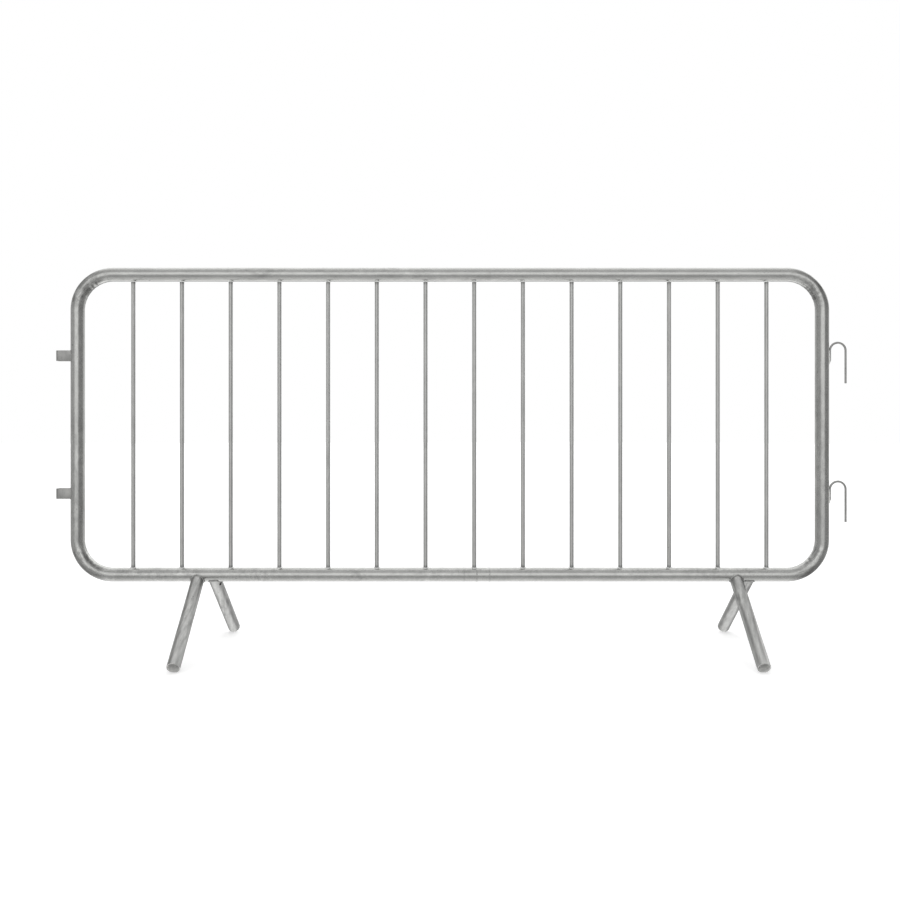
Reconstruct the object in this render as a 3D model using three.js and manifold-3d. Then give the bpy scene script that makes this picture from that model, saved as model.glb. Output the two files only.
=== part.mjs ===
// Crowd control barrier, also called a pedestrian or police barrier: one bent steel tube closed
// into a rounded rectangle, fourteen upright infill bars, four splayed tube legs, two
// hanging hooks on the right end and two strip loops on the left end that take a neighbour's
// hooks. Everything is welded and hot-dip galvanised, and nothing moves.
//
// Millimetres, +Z up, +X towards the hooks, -Y towards the front. The origin is on the ground,
// midway between the outermost points, in the plane of the frame.

import * as THREE from "three";
import { mergeVertices } from "three/addons/utils/BufferGeometryUtils.js";
import Module from "manifold-3d";

const wasm = await Module();
wasm.setup();

// Perimeter frame, a round tube bent to a rounded rectangle.
const FRAME_WIDTH = 2204;
const FRAME_HEIGHT = 912;
const FRAME_RADIUS = 20;
const FRAME_WALL = 1.5;
const BEND_RADIUS = 103;
const BOTTOM_RAIL_Z = 220;
const BUTT_WELD_X = 78;
const VENT_RADIUS = 4;

// Infill bars, thin tubes from rail to rail.
const BAR_COUNT = 14;
const BAR_PITCH = 141.6;
const BAR_RADIUS = 6;
const BAR_WALL = 1.2;

// Legs, tubes cut square at the foot. Each pair straddles a point midway between two bars.
const LEG_RADIUS = 18.2;
const LEG_WALL = 2;
const LEG_TILT = THREE.MathUtils.degToRad(55.3);
const LEG_DROP = 6;
const LEFT_LEG_OFFSET = 23;
const RIGHT_LEG_OFFSET = 19;
const LEFT_LEGS_X = -5 * BAR_PITCH;
const RIGHT_LEGS_X = 6 * BAR_PITCH;
const HEEL_CUT = 1.4;
const LEG_HOLE_RADIUS = 5.5;
const LEG_HOLE_DISTANCE = 28.3;
const LEG_HOLE_TURN = THREE.MathUtils.degToRad(59);

// Hooks, round rod bent to an upside-down J.
const HOOK_RADIUS = 3;
const HOOK_BEND = 22.7;
const HOOK_SHORT_LEG = 41;
const HOOK_LONG_LEG = 95.4;
const HOOK_BENDS_Z = [871.4, 467.9];

// Loops, flat strip bent to a U that opens on the upright.
const LOOP_REACH = 40;
const LOOP_WIDTH = 30;
const LOOP_HEIGHT = 30;
const LOOP_THICKNESS = 4;
const LOOP_BEND = 9;
const LOOPS_Z = [856, 456];

// Clearance between touching pieces, where the weld lies.
const GAP = 0.3;

const BEND_STEPS = 8;
const HOOK_STEPS = 9;
const FRAME_SIDES = 24;
const BAR_SIDES = 12;
const LEG_SIDES = 20;
const HOOK_SIDES = 12;

const TOP_RAIL_Z = BOTTOM_RAIL_Z + FRAME_HEIGHT - 2 * FRAME_RADIUS;
const UPRIGHT_X = FRAME_WIDTH / 2 - FRAME_RADIUS;
const HOOK_X = UPRIGHT_X + FRAME_RADIUS + GAP + HOOK_RADIUS + HOOK_BEND;
const HOOK_REACH = HOOK_X + HOOK_BEND + HOOK_RADIUS - FRAME_WIDTH / 2;
const FRAME_X = (LOOP_REACH - HOOK_REACH) / 2;

// A closed geometry as a manifold-3d solid.
function solidOf(geometry) {
  const bare = geometry.clone();
  bare.deleteAttribute("normal");
  bare.deleteAttribute("uv");
  const merged = mergeVertices(bare, 1e-3);
  return new wasm.Manifold(
    new wasm.Mesh({
      numProp: 3,
      vertProperties: merged.attributes.position.array,
      triVerts: new Uint32Array(merged.index.array),
    }),
  );
}

// A manifold-3d solid as a flat-shaded geometry.
function geometryOf(solid) {
  const mesh = solid.getMesh();
  const indexed = new THREE.BufferGeometry();
  indexed.setAttribute("position", new THREE.BufferAttribute(mesh.vertProperties, 3));
  indexed.setIndex(new THREE.BufferAttribute(mesh.triVerts, 1));
  const flat = indexed.toNonIndexed();
  flat.computeVertexNormals();
  return flat;
}

// A bent tube's centreline, with one cross-section at each station. Between two stations the
// tube is straight, so a long straight stretch costs nothing.
class Centreline extends THREE.Curve {
  constructor(stations) {
    super();
    this.stations = stations;
  }

  station(t) {
    return this.stations[Math.round(t * (this.stations.length - 1))];
  }

  getPointAt(t, target = new THREE.Vector3()) {
    return target.copy(this.station(t).point);
  }

  getTangentAt(t, target = new THREE.Vector3()) {
    return target.copy(this.station(t).tangent);
  }
}

// One station in the XZ plane.
function station(x, z, tangentX, tangentZ) {
  return {
    point: new THREE.Vector3(x, 0, z),
    tangent: new THREE.Vector3(tangentX, 0, tangentZ).normalize(),
  };
}

// The stations of a round bend in the XZ plane, with its angles in degrees from +X.
function bend(centreX, centreZ, radius, from, to, steps) {
  const turn = Math.sign(to - from);
  return Array.from({ length: steps + 1 }, (_, i) => {
    const angle = THREE.MathUtils.degToRad(from + ((to - from) * i) / steps);
    const [c, s] = [Math.cos(angle), Math.sin(angle)];
    return station(centreX + radius * c, centreZ + radius * s, -turn * s, turn * c);
  });
}

// A round bar swept along a centreline. The first corner of its section lies `turn` sides round.
function sweptRod(stations, radius, sides, turn = 0) {
  const corners = Array.from({ length: sides }, (_, i) => {
    const angle = ((i + turn) * 2 * Math.PI) / sides;
    return new THREE.Vector2(radius * Math.cos(angle), radius * Math.sin(angle));
  });
  return new THREE.ExtrudeGeometry(new THREE.Shape(corners), {
    steps: stations.length - 1,
    extrudePath: new Centreline(stations),
    bevelEnabled: false,
  });
}

// A round bar that runs from `start` to `end` along Z.
function roundBar(radius, start, end, sides) {
  return new THREE.CylinderGeometry(radius, radius, end - start, sides)
    .rotateX(Math.PI / 2)
    .translate(0, 0, (start + end) / 2);
}

// A straight tube with open ends that runs from 0 to `length` along Z.
function tube(radius, wall, length, sides) {
  const bore = solidOf(roundBar(radius - wall, -1, length + 1, sides));
  return solidOf(roundBar(radius, 0, length, sides)).subtract(bore);
}

// The room that a rail along X needs, for cutting the tube ends that are welded to it.
function railRoom(length, z) {
  const room = roundBar(FRAME_RADIUS + GAP, -length / 2, length / 2, FRAME_SIDES);
  return solidOf(room.rotateY(Math.PI / 2).translate(0, 0, z));
}

// A round bar along the whole perimeter, made as a left and a right half.
function perimeter(radius) {
  const x = UPRIGHT_X - BEND_RADIUS;
  const bottom = BOTTOM_RAIL_Z + BEND_RADIUS;
  const top = TOP_RAIL_Z - BEND_RADIUS;
  const right = [
    station(BUTT_WELD_X, BOTTOM_RAIL_Z, 1, 0),
    ...bend(x, bottom, BEND_RADIUS, -90, 0, BEND_STEPS),
    ...bend(x, top, BEND_RADIUS, 0, 90, BEND_STEPS),
    station(BUTT_WELD_X, TOP_RAIL_Z, -1, 0),
  ];
  const left = [
    station(BUTT_WELD_X, BOTTOM_RAIL_Z, -1, 0),
    ...bend(-x, bottom, BEND_RADIUS, 270, 180, BEND_STEPS),
    ...bend(-x, top, BEND_RADIUS, 180, 90, BEND_STEPS),
    station(BUTT_WELD_X, TOP_RAIL_Z, 1, 0),
  ];
  return solidOf(sweptRod(right, radius, FRAME_SIDES)).add(
    solidOf(sweptRod(left, radius, FRAME_SIDES)),
  );
}

// Turns a bar along +Z to the front leg's direction, with the rail's axis at the origin.
function alongFrontLeg(geometry) {
  return geometry
    .rotateX(Math.PI - LEG_TILT)
    .translate(0, LEG_DROP * Math.cos(LEG_TILT), -LEG_DROP * Math.sin(LEG_TILT));
}

// The frame tube. A vent for the galvanising bath opens into each leg.
function frameGeometry() {
  let frame = perimeter(FRAME_RADIUS).subtract(perimeter(FRAME_RADIUS - FRAME_WALL));
  for (const leg of legs()) {
    const vent = alongFrontLeg(roundBar(VENT_RADIUS, 0, 2 * FRAME_RADIUS, BAR_SIDES))
      .rotateZ(leg.turn)
      .translate(leg.x, 0, BOTTOM_RAIL_Z);
    frame = frame.subtract(solidOf(vent));
  }
  return geometryOf(frame);
}

// A bar between the two rails, its ends cut to the rails' round, with its middle at the origin.
function barGeometry() {
  const half = (TOP_RAIL_Z - BOTTOM_RAIL_Z) / 2;
  const bar = tube(BAR_RADIUS, BAR_WALL, 2 * half, BAR_SIDES).translate([0, 0, -half]);
  const rails = [-half, half].map((z) => railRoom(4 * BAR_RADIUS, z));
  return geometryOf(bar.subtract(rails[0]).subtract(rails[1]));
}

// A front leg with the rail's axis at the origin. Its top is cut to the rail's round, and square
// where it hangs below the rail. Its foot is cut square, and the heel is dressed flat where it
// stands on the ground. A vent hole is drilled in its lower side near the top.
function legGeometry() {
  const endHeight = LEG_RADIUS * Math.sin(LEG_TILT) - HEEL_CUT;
  const axisHeight = BOTTOM_RAIL_Z - LEG_DROP * Math.sin(LEG_TILT);
  const length = (axisHeight - endHeight) / Math.cos(LEG_TILT);
  const outer = alongFrontLeg(roundBar(LEG_RADIUS, 0, length, LEG_SIDES));
  const bore = alongFrontLeg(roundBar(LEG_RADIUS - LEG_WALL, -1, length + 1, LEG_SIDES));
  const hole = alongFrontLeg(
    roundBar(LEG_HOLE_RADIUS, 0, 2 * LEG_RADIUS, LEG_SIDES)
      .rotateX(Math.PI / 2)
      .rotateZ(-LEG_HOLE_TURN)
      .translate(0, 0, LEG_HOLE_DISTANCE),
  );
  const ground = new THREE.BoxGeometry(4 * LEG_RADIUS, 2 * length, 20);
  ground.translate(0, 0, -BOTTOM_RAIL_Z - 10);
  return geometryOf(
    solidOf(outer)
      .subtract(solidOf(bore))
      .subtract(solidOf(hole))
      .subtract(railRoom(4 * LEG_RADIUS, 0))
      .subtract(solidOf(ground)),
  );
}

// A hook with the centre of its bend at the origin and its short leg on the -X side.
function hookGeometry() {
  const stations = [
    station(-HOOK_BEND, -HOOK_SHORT_LEG, 0, 1),
    ...bend(0, 0, HOOK_BEND, 180, 0, HOOK_STEPS),
    station(HOOK_BEND, -HOOK_LONG_LEG, 0, -1),
  ];
  return sweptRod(stations, HOOK_RADIUS, HOOK_SIDES, 0.5);
}

// A loop with the upright's axis at the origin, reaching towards +X.
function loopGeometry() {
  const end = FRAME_RADIUS + LOOP_REACH;
  const half = LOOP_WIDTH / 2;
  const bendX = end - LOOP_BEND;
  const bendY = half - LOOP_BEND;
  const innerBend = LOOP_BEND - LOOP_THICKNESS;
  const plan = new THREE.Shape()
    .moveTo(0, -half)
    .lineTo(bendX, -half)
    .absarc(bendX, -bendY, LOOP_BEND, -Math.PI / 2, 0)
    .absarc(bendX, bendY, LOOP_BEND, 0, Math.PI / 2)
    .lineTo(0, half)
    .lineTo(0, half - LOOP_THICKNESS)
    .absarc(bendX, bendY, innerBend, Math.PI / 2, 0, true)
    .absarc(bendX, -bendY, innerBend, 0, -Math.PI / 2, true)
    .lineTo(0, LOOP_THICKNESS - half);
  const strip = new THREE.ExtrudeGeometry(plan, {
    depth: LOOP_HEIGHT,
    curveSegments: 5,
    bevelEnabled: false,
  }).translate(0, 0, -LOOP_HEIGHT / 2);
  const upright = roundBar(FRAME_RADIUS + GAP, -LOOP_HEIGHT, LOOP_HEIGHT, FRAME_SIDES);
  return geometryOf(solidOf(strip).subtract(solidOf(upright)));
}

// Where the four legs stand along X, and how far each is turned from a front leg.
function legs() {
  return [
    { name: "front_left_leg", x: LEFT_LEGS_X - LEFT_LEG_OFFSET, turn: 0 },
    { name: "rear_left_leg", x: LEFT_LEGS_X + LEFT_LEG_OFFSET, turn: Math.PI },
    { name: "front_right_leg", x: RIGHT_LEGS_X - RIGHT_LEG_OFFSET, turn: 0 },
    { name: "rear_right_leg", x: RIGHT_LEGS_X + RIGHT_LEG_OFFSET, turn: Math.PI },
  ];
}

function galvanised(color, roughness) {
  return new THREE.MeshStandardMaterial({ color, roughness, metalness: 0.9, flatShading: true });
}

const frameSteel = galvanised(0xa3a5a0, 0.42);
const barSteel = galvanised(0x9b9d99, 0.4);
const legSteel = galvanised(0x9fa19c, 0.48);
const fittingSteel = galvanised(0xa6a6a0, 0.45);

const barrier = new THREE.Group();
barrier.position.x = FRAME_X;
const part = new THREE.Group();
part.add(barrier);

function place(name, geometry, material, x, z, turn = 0) {
  const mesh = new THREE.Mesh(geometry, material);
  mesh.name = name;
  mesh.position.set(x, 0, z);
  mesh.rotation.z = turn;
  barrier.add(mesh);
}

place("perimeter_frame", frameGeometry(), frameSteel, 0, 0);

const bar = barGeometry();
for (let i = 0; i < BAR_COUNT; i++) {
  const number = String(i + 1).padStart(2, "0");
  const x = (i - (BAR_COUNT - 1) / 2) * BAR_PITCH;
  place(`infill_bar_${number}`, bar, barSteel, x, (BOTTOM_RAIL_Z + TOP_RAIL_Z) / 2);
}

const leg = legGeometry();
for (const { name, x, turn } of legs()) place(name, leg, legSteel, x, BOTTOM_RAIL_Z, turn);

const hook = hookGeometry();
place("upper_hook", hook, fittingSteel, HOOK_X, HOOK_BENDS_Z[0]);
place("lower_hook", hook, fittingSteel, HOOK_X, HOOK_BENDS_Z[1]);

const loop = loopGeometry();
place("upper_loop", loop, fittingSteel, -UPRIGHT_X, LOOPS_Z[0], Math.PI);
place("lower_loop", loop, fittingSteel, -UPRIGHT_X, LOOPS_Z[1], Math.PI);

export default part;
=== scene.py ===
import math
import random

import bmesh
import bpy
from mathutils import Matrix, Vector


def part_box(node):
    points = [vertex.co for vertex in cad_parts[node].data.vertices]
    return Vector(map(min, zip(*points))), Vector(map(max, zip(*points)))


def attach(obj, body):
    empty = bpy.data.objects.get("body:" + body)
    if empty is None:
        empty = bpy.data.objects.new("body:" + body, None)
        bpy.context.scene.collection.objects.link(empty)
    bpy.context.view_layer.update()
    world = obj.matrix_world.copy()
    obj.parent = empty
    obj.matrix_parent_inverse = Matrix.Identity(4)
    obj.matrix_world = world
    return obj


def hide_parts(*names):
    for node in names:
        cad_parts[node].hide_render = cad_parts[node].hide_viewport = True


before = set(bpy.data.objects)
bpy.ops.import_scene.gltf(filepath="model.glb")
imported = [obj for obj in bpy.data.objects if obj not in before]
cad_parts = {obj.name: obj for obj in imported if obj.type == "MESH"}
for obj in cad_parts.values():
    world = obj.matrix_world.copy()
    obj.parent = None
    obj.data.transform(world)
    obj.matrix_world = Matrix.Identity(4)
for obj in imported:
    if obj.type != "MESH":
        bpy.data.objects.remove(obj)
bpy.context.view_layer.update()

TURN = 2 * math.pi
MM = 0.001
RIGHT = Vector((1, 0, 0))
BACK = Vector((0, 1, 0))
UP = Vector((0, 0, 1))
SHARP_EDGE = math.radians(40)
BEAD_SIDES = 10
PATTERN_STEP = 7.3  # from the start of one piece to that of the next in the zinc's pattern

# ---------------------------------------------------------------- sizes, in metres, from the frame

FRAME_LOW, FRAME_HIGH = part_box("perimeter_frame")
TUBE_RADIUS = (FRAME_HIGH.y - FRAME_LOW.y) / 2
LEFT_X = FRAME_LOW.x + TUBE_RADIUS
RIGHT_X = FRAME_HIGH.x - TUBE_RADIUS
BOTTOM_Z = FRAME_LOW.z + TUBE_RADIUS
TOP_Z = FRAME_HIGH.z - TUBE_RADIUS
MIDDLE_X = (LEFT_X + RIGHT_X) / 2
BEND_RADIUS = 103 * MM
BEND_STEPS = 72
FRAME_SIDES = 64
CREASE_HEIGHT = 0.2 * MM
CREASE_SIDE = math.pi + 0.5  # from the bend's outside: on the inside, a little to the front
BUTT_WELD_X = MIDDLE_X + 78 * MM
BUTT_BEAD = 2.0 * MM
# The bands at the butt weld, in mm: how far along the rail, and how deep in it the bead runs.
BUTT_BANDS = [(-37, 1.45), (0, 1.2), (37, 1.35)]

BAR_NODES = [f"infill_bar_{i:02d}" for i in range(1, 15)]
BAR_WALL = 1.2 * MM
BAR_SIDES = 32
BAR_BEAD = 1.9 * MM
# How much welding heated a bar, by the distance from the rail. The same share darkens the bar's
# tone there, as painted shade from the rail.
BAR_HEAT_AND_SHADE = [(0, 1.0), (6 * MM, 1.0), (11 * MM, 0.0)]

LEG_NODES = ["front_left_leg", "rear_left_leg", "front_right_leg", "rear_right_leg"]
LEG_WALL = 2 * MM
LEG_RIM = 0.5 * MM
LEG_SIDES = 48
LEG_BEAD = 2.6 * MM
LEG_TILT = math.radians(55.3)
LEG_DROP = 6 * MM
# The vent hole: its distance along the leg's axis, and how far round it is from the lower side.
LEG_HOLE_RADIUS = 5.5 * MM
LEG_HOLE_DISTANCE = 28.3 * MM
LEG_HOLE_TURN = math.radians(59)

HOOK_NODES = ["upper_hook", "lower_hook"]
HOOK_RADIUS = 3 * MM
HOOK_BEND = 22.7 * MM
HOOK_SHORT_LEG = 41 * MM
HOOK_LONG_LEG = 95.4 * MM
HOOK_SLANT = 13 * MM
HOOK_BURR = 0.7 * MM
HOOK_SIDES = 28
HOOK_BEAD = 1.9 * MM

LOOP_NODES = ["upper_loop", "lower_loop"]
LOOP_THICKNESS = 4 * MM
LOOP_BEND = 9 * MM
LOOP_EDGE = 0.8 * MM
LOOP_BEAD = 1.8 * MM


# ---------------------------------------------------------------- mesh helpers


def skin(name, rings, closed=False, caps=False, worked=None):
    """A mesh object of quads between rings of points. closed joins the last ring to the first,
    and caps closes the two end rings with a face each. worked says for each ring how much the
    steel was bent or heated there; on a bar's ends by the rails it also sets how much painted
    shade darkens them."""
    sides = len(rings[0])
    points = [p for ring in rings for p in ring]
    faces = []
    for i in range(len(rings) if closed else len(rings) - 1):
        a, b = i * sides, (i + 1) % len(rings) * sides
        for j in range(sides):
            k = (j + 1) % sides
            faces.append((a + j, a + k, b + k, b + j))
    if caps:
        faces.append(tuple(reversed(range(sides))))
        faces.append(tuple(range(len(points) - sides, len(points))))
    mesh = bpy.data.meshes.new(name)
    mesh.from_pydata(points, [], faces)
    places = mesh.attributes.new("straight", "FLOAT_VECTOR", "POINT").data
    for place, where in zip(places, straightened(rings)):
        place.vector = where
    marks = mesh.attributes.new("worked", "FLOAT", "POINT").data
    for i, mark in enumerate(marks):
        mark.value = worked[i // sides] if worked else 0.0
    return finished(name, mesh)


def straightened(rings):
    """Where each point would be if the tube were straight: along it, and round it. Every tube
    starts somewhere else, so no two have the same marks."""
    sides = len(rings[0])
    along = pattern_start()
    last = None
    places = []
    for ring in rings:
        centre = sum(ring, Vector()) / sides
        along += (centre - last).length if last else 0.0
        last = centre
        for j, point in enumerate(ring):
            radius = (point - centre).length
            angle = TURN * j / sides
            places.append((along, radius * math.cos(angle), radius * math.sin(angle)))
    return places


def pattern_start():
    """Where the newest piece starts in the zinc's pattern, along the tube."""
    return PATTERN_STEP * len(bpy.data.meshes)


def finished(name, mesh):
    """The mesh as an object with its faces outwards, smooth except over sharp edges."""
    work = bmesh.new()
    work.from_mesh(mesh)
    bmesh.ops.recalc_face_normals(work, faces=work.faces)
    work.to_mesh(mesh)
    work.free()
    mesh.shade_smooth()
    mesh.set_sharp_from_angle(angle=SHARP_EDGE)
    thing = bpy.data.objects.new(name, mesh)
    bpy.context.scene.collection.objects.link(thing)
    return thing


def joined(name, things):
    """Several objects as one."""
    with bpy.context.temp_override(active_object=things[0], selected_editable_objects=things):
        bpy.ops.object.join()
    things[0].name = name
    return things[0]


def circle(centre, across, up, radius, sides):
    """A ring of points round centre, in the plane of two unit vectors."""
    angles = [TURN * j / sides for j in range(sides)]
    return [centre + radius * (math.cos(a) * across + math.sin(a) * up) for a in angles]


def on_body(thing, materials, slot_name, *nodes):
    """Rides a piece on the barrier, with its materials, and hides the nodes it replaces. slot_name
    is not used.
    """
    for material in materials:
        thing.data.materials.append(material)
    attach(thing, "root")
    if nodes:
        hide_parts(*nodes)
    return thing


def weld_bead(name, path, radius, seed, closed=True, pitch=2.4 * MM):
    """A bead along a list of points, rippled as a welder lays it, and tapered where it ends."""
    rng = random.Random(seed)
    count = len(path)
    rings = []
    travelled = 0.0
    wander = [rng.uniform(0, TURN) for _ in range(3)]
    for i, point in enumerate(path):
        before = path[i - 1] if closed or i else point
        after = path[(i + 1) % count] if closed or i < count - 1 else point
        along = (after - before).normalized()
        across = along.orthogonal().normalized()
        up = along.cross(across)
        share = i / count
        # It swells and thins slowly, and ripples once in each pitch.
        swell = sum(math.sin(TURN * share * (k + 2) + w) for k, w in enumerate(wander))
        ripple = abs(math.sin(math.pi * travelled / pitch))
        size = radius * (0.88 + 0.07 * swell + 0.16 * ripple)
        if not closed:
            size *= max(0.05, math.sin(math.pi * (i + 0.2) / (count - 0.6))) ** 0.35
        rings.append(circle(point, across, up, size, BEAD_SIDES))
        travelled += (after - point).length
    return skin(name, untwisted(rings), closed=closed, caps=not closed)


def untwisted(rings):
    """Turns each ring so that its first point follows the ring before it."""
    made = [rings[0]]
    for ring in rings[1:]:
        last = made[-1][0]
        first = min(range(len(ring)), key=lambda j: (ring[j] - last).length)
        made.append(ring[first:] + ring[:first])
    return made


# ---------------------------------------------------------------- the frame tube


def perimeter_stations():
    """(point, outward, how far round its bend from 0 to 1) along the frame's closed centreline."""
    bend_x = (LEFT_X + BEND_RADIUS, RIGHT_X - BEND_RADIUS)
    bend_z = (BOTTOM_Z + BEND_RADIUS, TOP_Z - BEND_RADIUS)
    corners = [
        (bend_x[1], bend_z[0], -90),
        (bend_x[1], bend_z[1], 0),
        (bend_x[0], bend_z[1], 90),
        (bend_x[0], bend_z[0], 180),
    ]
    stations = []
    for x, z, start in corners:
        for i in range(BEND_STEPS + 1):
            share = i / BEND_STEPS
            angle = math.radians(start + 90 * share)
            outward = Vector((math.cos(angle), 0, math.sin(angle)))
            stations.append((Vector((x, 0, z)) + BEND_RADIUS * outward, outward, share))
    return stations


def frame_tube():
    """The tube, with the creases that bending left on the inside of its bends."""
    rng = random.Random(3)
    rings = []
    worked = []
    for point, outward, share in perimeter_stations():
        if share == 0:
            waves = [
                (rng.randint(5, 12), rng.uniform(0, TURN), rng.uniform(0, 1.2)) for _ in range(4)
            ]
        middle = math.sin(math.pi * share)
        ring = circle(point, outward, BACK, TUBE_RADIUS, FRAME_SIDES)
        for j in range(FRAME_SIDES):
            angle = TURN * j / FRAME_SIDES
            inside = max(0.0, math.cos(angle - CREASE_SIDE)) ** 1.5
            crease = sum(math.sin(TURN * n * share + w + k * angle) for n, w, k in waves)
            height = CREASE_HEIGHT * middle * inside * crease
            ring[j] += height * (ring[j] - point).normalized()
        rings.append(ring)
        worked.append(min(1.0, 1.6 * middle))
    return skin("perimeter_tube", rings, closed=True, worked=worked)


def butt_weld():
    """The dressed bead that closes the frame tube in its bottom rail, and the marks the clamps
    left on each side of it."""
    bands = []
    for k, (offset, sunk) in enumerate(BUTT_BANDS):
        centre = Vector((BUTT_WELD_X + offset * MM, 0, BOTTOM_Z))
        path = circle(centre, BACK, UP, TUBE_RADIUS - sunk * MM, 120)
        bands.append(weld_bead(f"butt_bead_{k}", path, BUTT_BEAD, seed=5 + k, pitch=3 * MM))
    return joined("frame_butt_weld", bands)


# ---------------------------------------------------------------- infill bars


def bar_size(node):
    low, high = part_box(node)
    return (low.x + high.x) / 2, (high.x - low.x) / 2


def saddle(x, radius, rail_z, side, sides, lift=0.0):
    """The curve where an upright round bar meets a rail, side +1 above it and -1 below it."""
    ring = []
    for j in range(sides):
        angle = TURN * j / sides
        y = radius * math.sin(angle)
        rise = math.sqrt(TUBE_RADIUS**2 - y**2) + lift
        ring.append(Vector((x + radius * math.cos(angle), y, rail_z + side * rise)))
    return ring


def bar_tube(node):
    x, radius = bar_size(node)
    inner = radius - BAR_WALL
    # A bar's ends by the rails are heated, and darkened with painted shade.
    ends = [(BOTTOM_Z, 1, lift, heat_and_shade) for lift, heat_and_shade in BAR_HEAT_AND_SHADE]
    ends += [(TOP_Z, -1, lift, heat_and_shade) for lift, heat_and_shade in reversed(BAR_HEAT_AND_SHADE)]
    rings = [saddle(x, radius, z, side, BAR_SIDES, lift) for z, side, lift, _ in ends]
    rings += [saddle(x, inner, z, side, BAR_SIDES) for z, side in ((TOP_Z, -1), (BOTTOM_Z, 1))]
    worked = [heat_and_shade for _, _, _, heat_and_shade in ends] + [0.0, 0.0]
    return skin(node + "_tube", rings, closed=True, worked=worked)


def bar_welds(node, seed):
    x, radius = bar_size(node)
    beads = []
    for k, (z, side) in enumerate(((BOTTOM_Z, 1), (TOP_Z, -1))):
        path = saddle(x, radius + 0.6 * MM, z, side, 64)
        beads.append(weld_bead(f"{node}_bead_{k}", path, BAR_BEAD, seed + k))
    return joined(node + "_welds", beads)


# ---------------------------------------------------------------- legs


class Leg:
    """A leg's axis. It starts LEG_DROP under the rail's axis and ends in the middle of the foot."""

    def __init__(self, node):
        low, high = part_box(node)
        self.x = (low.x + high.x) / 2
        self.radius = (high.x - low.x) / 2
        self.side = -1 if -low.y > high.y else 1
        self.along = Vector((0, self.side * math.sin(LEG_TILT), -math.cos(LEG_TILT)))
        self.upper = Vector((0, self.side * math.cos(LEG_TILT), math.sin(LEG_TILT)))
        self.start = Vector((self.x, 0, BOTTOM_Z)) - LEG_DROP * self.upper
        reach = max(-low.y, high.y) + (LEG_DROP - self.radius) * math.cos(LEG_TILT)
        self.length = reach / math.sin(LEG_TILT)

    def point(self, radius, angle, distance):
        """A point of the tube, angle from its upper side. None of it goes below the ground."""
        ring = radius * (math.cos(angle) * self.upper + math.sin(angle) * RIGHT)
        place = self.start + ring + distance * self.along
        return Vector((place.x, place.y, max(place.z, 0)))

    def ring(self, radius, distance):
        return [self.point(radius, TURN * j / LEG_SIDES, distance) for j in range(LEG_SIDES)]

    def top(self, radius, sides=LEG_SIDES, sunk=math.inf):
        """The curve where the tube meets the rail. Under the rail it goes down no further than
        sunk below the rail's surface."""
        ring = []
        for j in range(sides):
            angle = TURN * j / sides
            height = radius * math.cos(angle) - LEG_DROP
            distance = math.sqrt(max(TUBE_RADIUS**2 - height**2, 0))
            lift = max(0.0, -TUBE_RADIUS - sunk - height)
            ring.append(self.point(radius, angle, distance) + lift * self.upper)
        return ring


def leg_tube(node):
    """The tube, with the second material on its foot's rim and in its bore."""
    leg = Leg(node)
    inner = leg.radius - LEG_WALL
    rim = LEG_RIM
    end = leg.length
    rings = [leg.top(leg.radius)]
    # The rings are closer together near the foot, where the heel is flat.
    rings += [leg.ring(leg.radius, end - back * MM) for back in (60, 20, 8, 5, 3.6, 2.4, 1.4)]
    rings += [leg.ring(leg.radius, end - rim), leg.ring(leg.radius - 0.3 * rim, end - 0.3 * rim)]
    outside = len(rings)
    rings += [leg.ring(leg.radius - rim, end), leg.ring(inner + rim, end)]
    rings += [leg.ring(inner + 0.3 * rim, end - 0.3 * rim), leg.ring(inner, end - rim)]
    rings += [leg.ring(inner, end - 60 * MM), leg.top(inner)]
    thing = skin(node + "_tube", rings, closed=True)
    # The foot's rim and its bore get the pale zinc, whose colour is partly painted light.
    for face in thing.data.polygons:
        if outside <= face.index // LEG_SIDES < len(rings) - 1:
            face.material_index = 1
    drill(thing, leg)
    return thing


def drill(thing, leg):
    """Cuts the leg's vent hole. Then it says again where each point is along and round the leg."""
    below = -math.cos(LEG_HOLE_TURN) * leg.upper
    outward = below + leg.side * math.sin(LEG_HOLE_TURN) * RIGHT
    across = outward.cross(leg.along)
    middle = leg.start + LEG_HOLE_DISTANCE * leg.along
    centres = (middle, middle + 2 * leg.radius * outward)
    rings = [circle(centre, across, leg.along, LEG_HOLE_RADIUS, 32) for centre in centres]
    cutter = skin("drill", rings, caps=True)
    cut = thing.modifiers.new("hole", "BOOLEAN")
    cut.object = cutter
    cut.solver = "EXACT"
    with bpy.context.temp_override(object=thing, active_object=thing):
        bpy.ops.object.modifier_apply(modifier=cut.name)
    bpy.data.meshes.remove(cutter.data)
    thing.data.set_sharp_from_angle(angle=SHARP_EDGE)
    start = pattern_start()
    places = thing.data.attributes["straight"].data
    for place, vertex in zip(places, thing.data.vertices):
        away = vertex.co - leg.start
        place.vector = (start + away.dot(leg.along), away.dot(leg.upper), away.x)


def leg_weld(node, seed):
    """A bead round the leg's top. Under the rail it runs straight across and closes the gap."""
    leg = Leg(node)
    path = leg.top(leg.radius + 0.5 * MM, sides=160, sunk=1 * MM)
    return weld_bead(node + "_weld", path, LEG_BEAD, seed, pitch=3 * MM)


# ---------------------------------------------------------------- hooks


def hook_place(node):
    """The middle of a hook's bend."""
    low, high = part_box(node)
    return Vector(((low.x + high.x) / 2, 0, low.z + HOOK_LONG_LEG))


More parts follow.
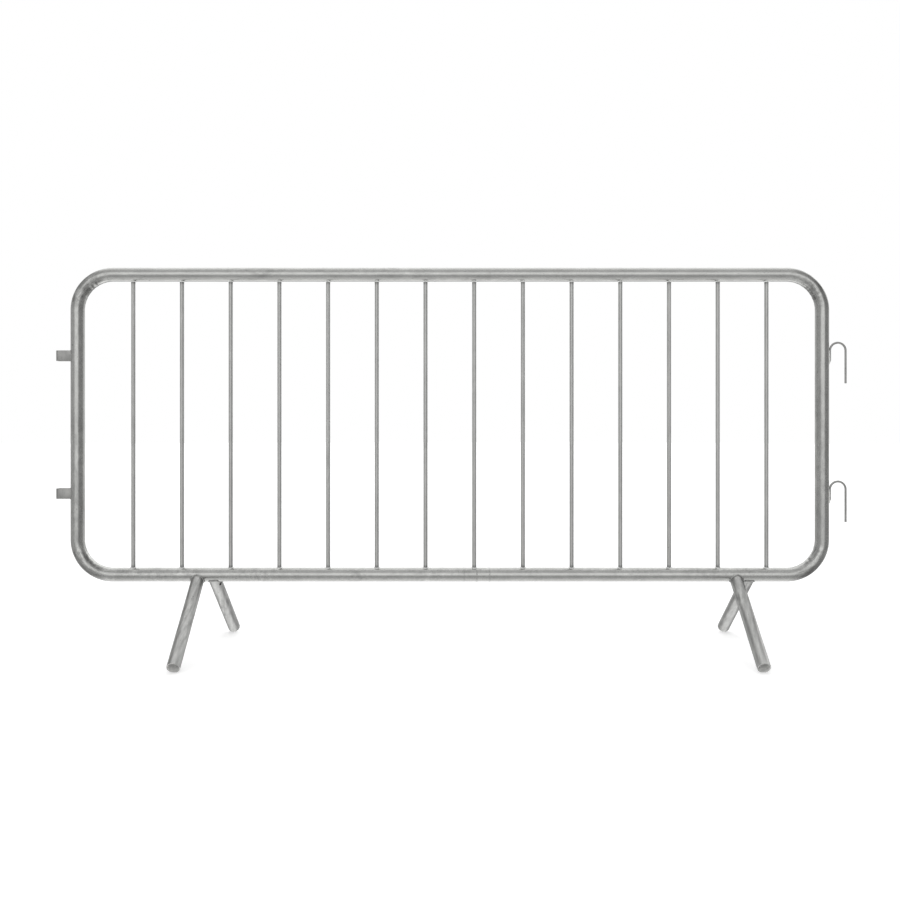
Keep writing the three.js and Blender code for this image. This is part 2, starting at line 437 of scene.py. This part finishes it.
def hook_rod(node):
    middle = hook_place(node)

    def below(side, drop):
        """A point of the short leg's axis, side -1, or of the long leg's, side +1."""
        return middle + Vector((side * HOOK_BEND, 0, -drop))

    def cut_end(side, drop):
        """The two rings of a leg's end, from the cut face upwards."""
        face = circle(below(side, drop), side * RIGHT, BACK, HOOK_RADIUS - HOOK_BURR, HOOK_SIDES)
        edge = circle(below(side, drop - HOOK_BURR), side * RIGHT, BACK, HOOK_RADIUS, HOOK_SIDES)
        return [face, edge]

    stations = [(below(-1, HOOK_SHORT_LEG / 2), -RIGHT)]
    steps = 36
    for i in range(steps + 1):
        angle = math.pi * (1 - i / steps)
        outward = Vector((math.cos(angle), 0, math.sin(angle)))
        stations.append((middle + HOOK_BEND * outward, outward))
    stations.append((below(1, HOOK_LONG_LEG / 2), RIGHT))
    rings = cut_end(-1, HOOK_SHORT_LEG)
    # The short leg is cut slanting, so that it dies away into its welds.
    for ring in rings:
        for j, point in enumerate(ring):
            share = (point.x - middle.x + HOOK_BEND + HOOK_RADIUS) / (2 * HOOK_RADIUS)
            ring[j] = point + HOOK_SLANT * share * UP
    rings += [circle(p, outward, BACK, HOOK_RADIUS, HOOK_SIDES) for p, outward in stations]
    rings += reversed(cut_end(1, HOOK_LONG_LEG))
    return skin(node + "_rod", rings, caps=True)


def hook_welds(node, seed):
    """Two beads in the grooves between the hook's short leg and the upright."""
    middle = hook_place(node)
    x = middle.x - HOOK_BEND - 0.75 * HOOK_RADIUS
    foot = middle.z - HOOK_SHORT_LEG + 1 * MM
    beads = []
    for k, side in enumerate((-1, 1)):
        y = side * 0.95 * HOOK_RADIUS
        path = [Vector((x, y, foot + 0.5 * MM * i)) for i in range(81)]
        beads.append(weld_bead(f"{node}_bead_{k}", path, HOOK_BEAD, seed + k, closed=False))
    return joined(node + "_welds", beads)


# ---------------------------------------------------------------- loops


def loop_plan(offset, low, high):
    """Half-outline of the loop's strip in plan, offset inwards from its outer face: (x, y) from
    the upright along one arm, round the end and back."""
    half = (high.y - low.y) / 2 - offset
    end = low.x + offset
    bend = LOOP_BEND - offset
    points = [(LEFT_X, -half)]
    for centre_y, start in ((-half + bend, 270), (half - bend, 180)):
        for i in range(13):
            angle = math.radians(start - 90 * i / 12)
            points.append((end + bend + bend * math.cos(angle), centre_y + bend * math.sin(angle)))
    points.append((LEFT_X, half))
    # The arms stop on the round of the upright.
    for i in (0, -1):
        y = points[i][1]
        points[i] = (LEFT_X - math.sqrt(TUBE_RADIUS**2 - y**2), y)
    return points


def loop_strip(node):
    low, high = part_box(node)
    edge = LOOP_EDGE
    section = [
        (0, low.z + edge), (0, high.z - edge),
        (0.3 * edge, high.z - 0.3 * edge),
        (edge, high.z), (LOOP_THICKNESS - edge, high.z),
        (LOOP_THICKNESS - 0.3 * edge, high.z - 0.3 * edge),
        (LOOP_THICKNESS, high.z - edge), (LOOP_THICKNESS, low.z + edge),
        (LOOP_THICKNESS - 0.3 * edge, low.z + 0.3 * edge),
        (LOOP_THICKNESS - edge, low.z), (edge, low.z),
        (0.3 * edge, low.z + 0.3 * edge),
    ]
    outlines = [(loop_plan(offset, low, high), z) for offset, z in section]
    rings = [
        [Vector((plan[i][0], plan[i][1], z)) for plan, z in outlines]
        for i in range(len(outlines[0][0]))
    ]
    return skin(node + "_strip", rings, caps=True)


def loop_welds(node, seed):
    """A bead round the end of each arm, on the upright."""
    low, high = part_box(node)
    beads = []
    for k, side in enumerate((-1, 1)):
        outer = side * (high.y - low.y) / 2
        inner = outer - side * LOOP_THICKNESS
        outline = [(outer, low.z), (outer, high.z), (inner, high.z), (inner, low.z)]
        path = []
        for (y0, z0), (y1, z1) in zip(outline, outline[1:] + outline[:1]):
            steps = max(4, round(math.hypot(y1 - y0, z1 - z0) / (0.6 * MM)))
            for i in range(steps):
                y = y0 + (y1 - y0) * i / steps
                z = z0 + (z1 - z0) * i / steps
                path.append(Vector((LEFT_X - math.sqrt(TUBE_RADIUS**2 - y**2), y, z)))
        beads.append(weld_bead(f"{node}_bead_{k}", path, LOOP_BEAD, seed + k))
    return joined(node + "_welds", beads)


# ---------------------------------------------------------------- materials


class Nodes:
    """A short way to add nodes to a material or world."""

    def __init__(self, owner):
        owner.use_nodes = True
        self.tree = owner.node_tree
        self.tree.nodes.clear()

    def add(self, kind, inputs=None, **settings):
        node = self.tree.nodes.new(kind)
        for key, value in settings.items():
            setattr(node, key, value)
        for key, value in (inputs or {}).items():
            if isinstance(value, bpy.types.NodeSocket):
                self.tree.links.new(value, node.inputs[key])
            else:
                node.inputs[key].default_value = value
        return node

    def noise(self, place, scale, detail=3.0, roughness=0.5):
        inputs = {"Vector": place, "Scale": scale, "Detail": detail, "Roughness": roughness}
        return self.add("ShaderNodeTexNoise", inputs).outputs["Fac"]

    def maths(self, operation, a, b, c=0.0):
        node = self.add("ShaderNodeMath", {0: a, 1: b, 2: c}, operation=operation)
        return node.outputs[0]

    def remap(self, value, low, high, to_low, to_high):
        inputs = {"Value": value, 1: low, 2: high, 3: to_low, 4: to_high}
        return self.add("ShaderNodeMapRange", inputs).outputs[0]

    def scaled(self, colour, scale):
        inputs = {0: colour, "Scale": scale}
        return self.add("ShaderNodeVectorMath", inputs, operation="SCALE").outputs[0]

    def straight_place(self):
        """Where a point would be if its tube were straight."""
        return self.add("ShaderNodeAttribute", attribute_name="straight").outputs["Vector"]

    def surface(self, **inputs):
        """Ends the material in a Principled shader."""
        named = {name.replace("_", " "): value for name, value in inputs.items()}
        shader = self.add("ShaderNodeBsdfPrincipled", named)
        self.add("ShaderNodeOutputMaterial", {"Surface": shader.outputs[0]})


# Waves per metre of the zinc's marks, along the tube and across it.
STRETCHES = (3.2, 9.0)
CLOUDS = (8.0, 20.0)
PATCHES = (38.0, 80.0)
DENTS = (22.0, 45.0)
RUNS = (16, 130)
RUNS_ASKEW = 0.16
SPANGLE = 140.0
PITS = 190.0


def galvanised(name, tone, roughness, metallic=0.85, uneven=1.0, streaks=0.05, worked_and_shaded_tone=1.0):
    """Hot-dip galvanised steel: dull zinc in cloudy patches drawn out along the tube, with a
    faint spangle and a few pits. Smooth stretches take turns with rougher ones, and the zinc is
    roughest where the steel was bent or heated, and its tone there is the worked tone given. On
    the frame's bends that is the zinc's own tone; on the bars' ends by the rails it is painted
    shade."""
    material = bpy.data.materials.new(name)
    nodes = Nodes(material)
    place = nodes.straight_place()
    worked = nodes.add("ShaderNodeAttribute", attribute_name="worked").outputs["Fac"]

    def marks(waves, detail, grain=0.5):
        along, across = waves
        mapping = nodes.add("ShaderNodeMapping", {0: place, "Scale": (along, across, across)})
        return nodes.noise(mapping.outputs[0], 1.0, detail, grain)

    stretch = nodes.remap(marks(STRETCHES, 2.0), 0.46, 0.62, 0.25, 1.0)
    stretch = nodes.maths("MULTIPLY_ADD", worked, 0.9, stretch)
    rough_part = nodes.maths("MULTIPLY", stretch, uneven)
    cloud = marks(CLOUDS, 4.0, 0.6)
    patch = marks(PATCHES, 3.0, 0.55)
    # Streaks run a little askew, as the zinc ran off the tube.
    lengths = (1 / RUNS[0], 1 / RUNS[1], 1 / RUNS[1])
    askew = {0: place, "Rotation": (0, RUNS_ASKEW, 0), "Scale": lengths}
    runs = nodes.add("ShaderNodeMapping", askew, vector_type="TEXTURE").outputs[0]
    streak = nodes.noise(runs, 1.0, 2.0)
    dent = marks(DENTS, 2.0)
    crystal = nodes.add("ShaderNodeTexVoronoi", {"Vector": place, "Scale": SPANGLE})
    facet = nodes.add("ShaderNodeSeparateColor", {0: crystal.outputs["Color"]}).outputs[0]
    pits = nodes.remap(nodes.noise(place, PITS, 2.0), 0.68, 0.74, 0.0, 0.35)

    drawn = nodes.maths("MULTIPLY_ADD", worked, 0.12, streaks)
    # Each part of the tone is a share lighter or darker, around nothing.
    shade = nodes.remap(cloud, 0.32, 0.68, -0.10, 0.08)
    for part in (
        nodes.remap(patch, 0.30, 0.70, -0.17, 0.17),
        nodes.maths("MULTIPLY", nodes.remap(streak, 0.30, 0.70, -1.0, 1.0), drawn),
        nodes.remap(facet, 0.0, 1.0, -0.04, 0.04),
    ):
        shade = nodes.maths("MULTIPLY_ADD", part, rough_part, shade)
    shade = nodes.maths("SUBTRACT", shade, pits)
    light = nodes.maths("ADD", shade, 1.0)
    # Darker where worked: the zinc's own tone on the frame's bends, painted shade on the bars' ends
    # by the rails.
    light = nodes.maths("MULTIPLY", light, nodes.remap(worked, 0.0, 1.0, 1.0, worked_and_shaded_tone))

    rough = nodes.remap(cloud, 0.3, 0.7, roughness - 0.03, roughness + 0.04)
    rough = nodes.maths("MULTIPLY_ADD", rough_part, 0.06, rough)

    # The height of each mark, in mm.
    height = nodes.maths("MULTIPLY", dent, 0.16)
    bumps = nodes.maths("MULTIPLY", nodes.maths("MULTIPLY", patch, 0.18), rough_part)
    height = nodes.maths("ADD", height, bumps)
    height = nodes.maths("MULTIPLY_ADD", streak, nodes.maths("MULTIPLY", drawn, 2.2), height)
    height = nodes.maths("MULTIPLY_ADD", pits, -0.1, height)
    bump = nodes.add("ShaderNodeBump", {"Height": height, "Strength": 1.0, "Distance": MM})
    nodes.surface(
        Base_Color=nodes.scaled(tone, light),
        Metallic=metallic,
        Roughness=rough,
        Normal=bump.outputs[0],
    )
    return material


def weld_metal_and_glint():
    """Zinc over a weld bead, duller than the tubes, and lighter: its near-white colour is partly a
    painted highlight, the glint on the bead.
    """
    material = bpy.data.materials.new("galvanised_weld_and_glint")
    nodes = Nodes(material)
    lump = nodes.noise(nodes.straight_place(), 300.0, 3.0)
    light = nodes.remap(lump, 0.35, 0.65, 0.85, 1.1)
    bump = nodes.add("ShaderNodeBump", {"Height": lump, "Strength": 1.0, "Distance": 0.15 * MM})
    # Near-white base: partly dull zinc, partly a painted highlight on the beads.
    nodes.surface(
        Base_Color=nodes.scaled((0.86, 0.865, 0.85), light),
        Metallic=0.35,
        Roughness=0.45,
        Normal=bump.outputs[0],
    )
    return material


def bore_zinc_and_painted_light():
    """The dull, ashy zinc inside a leg's tube and on its cut rim, pale as painted light: the bore
    and rim are coloured lighter to show the light that reaches them from the floor.
    """
    material = bpy.data.materials.new("bore_zinc_and_painted_light")
    nodes = Nodes(material)
    lump = nodes.noise(nodes.straight_place(), 120.0, 3.0)
    light = nodes.remap(lump, 0.3, 0.7, 0.54, 0.74)
    # Pale base: painted light inside the bore and on the rim.
    nodes.surface(Base_Color=nodes.scaled((1.0, 1.0, 0.98), light), Roughness=0.8)
    return material


# ---------------------------------------------------------------- the barrier

FRAME_STEEL = galvanised("galvanised_frame", (0.44, 0.442, 0.43), 0.16, worked_and_shaded_tone=0.91)
# The bars' worked tone is painted shade on their ends by the rails.
BAR_STEEL = galvanised(
    "galvanised_bar", (0.47, 0.472, 0.462), 0.36, metallic=0.65, uneven=0.5, worked_and_shaded_tone=0.62
)
LEG_STEEL = galvanised("galvanised_leg", (0.43, 0.432, 0.422), 0.33, uneven=1.3, streaks=0.42)
FITTING_STEEL = galvanised("galvanised_fitting", (0.37, 0.37, 0.36), 0.38)
WELD_METAL_AND_GLINT = weld_metal_and_glint()
BORE_ZINC_AND_PAINTED_LIGHT = bore_zinc_and_painted_light()

on_body(frame_tube(), [FRAME_STEEL], "frame_steel", "perimeter_frame")
on_body(butt_weld(), [FRAME_STEEL], "frame_steel")
for number, node in enumerate(BAR_NODES):
    on_body(bar_tube(node), [BAR_STEEL], "bar_steel", node)
    on_body(bar_welds(node, seed=100 + 10 * number), [WELD_METAL_AND_GLINT], "bar_steel")
for number, node in enumerate(LEG_NODES):
    on_body(leg_tube(node), [LEG_STEEL, BORE_ZINC_AND_PAINTED_LIGHT], "leg_steel", node)
    on_body(leg_weld(node, seed=300 + 10 * number), [LEG_STEEL], "leg_steel")
for number, node in enumerate(HOOK_NODES):
    on_body(hook_rod(node), [FITTING_STEEL], "fitting_steel", node)
    on_body(hook_welds(node, seed=400 + 10 * number), [WELD_METAL_AND_GLINT], "fitting_steel")
for number, node in enumerate(LOOP_NODES):
    on_body(loop_strip(node), [FITTING_STEEL], "fitting_steel", node)
    on_body(loop_welds(node, seed=500 + 10 * number), [FITTING_STEEL], "fitting_steel")


# ---------------------------------------------------------------- floor, light and camera

CAMERA_DISTANCE = 3.137
CAMERA_HEIGHT = 0.668
CAMERA_X = MIDDLE_X + 0.4 * MM
CAMERA_SHIFT = -0.0328
VIEW_WIDTH = 2.6172  # what the picture covers of the frame's plane
SENSOR = 36.0
# What the steel reflects, looking round it from straight ahead up over the top and down under
# the ground: (degrees, how bright).
STUDIO_ROUND = [
    (-180, 0.95), (-172, 0.55), (-160, 0.25), (-148, 0.45), (-136, 1.35), (-116, 1.55),
    (-95, 1.20), (-80, 1.00), (-60, 0.80), (-42, 0.56), (-22, 0.50), (-6, 0.90), (4, 1.38),
    (26, 1.38), (38, 0.78), (60, 0.72), (78, 0.85), (95, 1.20), (116, 1.55), (140, 1.45),
    (165, 1.10), (180, 0.95),
]
# The same to the left and to the right: ahead of the barrier, behind it, behind and above it,
# and below it.
STUDIO_SIDES_AHEAD = (0.52, 0.31)
STUDIO_SIDES_BEHIND = (0.66, 0.95)
STUDIO_SIDES_ABOVE = (0.20, 2.20)
STUDIO_SIDES_BELOW = (0.30, 0.16)
# Where the sides take over: how far a direction of length 1 leans to the left or right, from a
# middle that is shifted a little to the left.
STUDIO_SIDES_BEGIN = (0.34, 0.64)
STUDIO_SIDES_SHIFT = 0.05
FLOOR_RADIUS = 30.0
FLOOR_CORNERS = 64
FLOOR_GLOW = 0.45


def make_camera():
    data = bpy.data.cameras.new("camera")
    data.sensor_width = SENSOR
    data.lens = SENSOR * CAMERA_DISTANCE / VIEW_WIDTH
    data.shift_y = CAMERA_SHIFT
    camera = bpy.data.objects.new("camera", data)
    camera.location = (CAMERA_X, -CAMERA_DISTANCE, CAMERA_HEIGHT)
    camera.rotation_euler = (math.radians(90), 0, 0)
    bpy.context.scene.collection.objects.link(camera)
    bpy.context.scene.camera = camera


def make_floor():
    """A wide pale floor. The steel reflects the studio in its place."""
    ring = circle(Vector(), RIGHT, BACK, FLOOR_RADIUS, FLOOR_CORNERS)
    mesh = bpy.data.meshes.new("floor")
    mesh.from_pydata(ring, [], [tuple(range(FLOOR_CORNERS))])
    floor = bpy.data.objects.new("floor", mesh)
    bpy.context.scene.collection.objects.link(floor)
    floor.visible_glossy = False
    material = bpy.data.materials.new("floor_paint")
    Nodes(material).surface(
        Base_Color=(0.8, 0.8, 0.8, 1),
        Roughness=1.0,
        Emission_Color=(1, 1, 1, 1),
        Emission_Strength=FLOOR_GLOW,
        Specular_IOR_Level=0.0,
    )
    floor.data.materials.append(material)


def studio_level(nodes):
    """How bright the studio is in the direction in which the steel reflects it."""
    way = nodes.add("ShaderNodeTexCoord").outputs["Generated"]
    x, y, z = nodes.add("ShaderNodeSeparateXYZ", {0: way}).outputs

    def mixed(share, a, b):
        return nodes.add("ShaderNodeMix", {0: share, 2: a, 3: b}).outputs[0]

    def left_to_right(levels):
        return nodes.remap(x, -0.2, 0.2, *levels)

    turn = nodes.maths("ARCTAN2", z, nodes.maths("MULTIPLY", y, -1.0))
    ramp = nodes.add("ShaderNodeValToRGB", {0: nodes.remap(turn, -math.pi, math.pi, 0.0, 1.0)})
    stops = ramp.color_ramp.elements
    # The ramp holds halves, since its colours go up to 1. Its first and last stop exist already.
    for degrees, level in STUDIO_ROUND[1:-1]:
        stops.new((degrees + 180) / 360).color = (level / 2, level / 2, level / 2, 1)
    for stop, (_, level) in ((stops[0], STUDIO_ROUND[0]), (stops[-1], STUDIO_ROUND[-1])):
        stop.color = (level / 2, level / 2, level / 2, 1)
    upright = nodes.maths("MULTIPLY", ramp.outputs[0], 2.0)

    above = nodes.remap(z, 0.15, 0.45, 0.0, 1.0)
    behind = nodes.remap(y, 0.15, 0.65, 0.0, 1.0)
    below = nodes.remap(z, -0.35, -0.65, 0.0, 1.0)
    sides_behind = mixed(
        above, left_to_right(STUDIO_SIDES_BEHIND), left_to_right(STUDIO_SIDES_ABOVE)
    )
    sides = mixed(behind, left_to_right(STUDIO_SIDES_AHEAD), sides_behind)
    sides = mixed(below, sides, left_to_right(STUDIO_SIDES_BELOW))
    sideways = nodes.maths("ABSOLUTE", nodes.maths("ADD", x, STUDIO_SIDES_SHIFT), 0.0)
    return mixed(nodes.remap(sideways, *STUDIO_SIDES_BEGIN, 0.0, 1.0), upright, sides)


def make_world():
    """White to the eye. What the steel reflects is a studio: a large soft light ahead, darker
    low down in front and to the sides, and bright above and behind."""
    world = bpy.data.worlds.new("studio")
    bpy.context.scene.world = world
    nodes = Nodes(world)
    white = (1, 1, 1, 1)
    seen = nodes.add("ShaderNodeLightPath").outputs["Is Camera Ray"]
    studio = nodes.add("ShaderNodeBackground", {"Color": white, "Strength": studio_level(nodes)})
    plain = nodes.add("ShaderNodeBackground", {"Color": white, "Strength": 1.0})
    shader = nodes.add("ShaderNodeMixShader", {0: seen, 1: studio.outputs[0], 2: plain.outputs[0]})
    nodes.add("ShaderNodeOutputWorld", {"Surface": shader.outputs[0]})


make_camera()
make_floor()
make_world()
bpy.context.scene.view_settings.view_transform = "Standard"
bpy.context.scene.view_settings.look = "None"
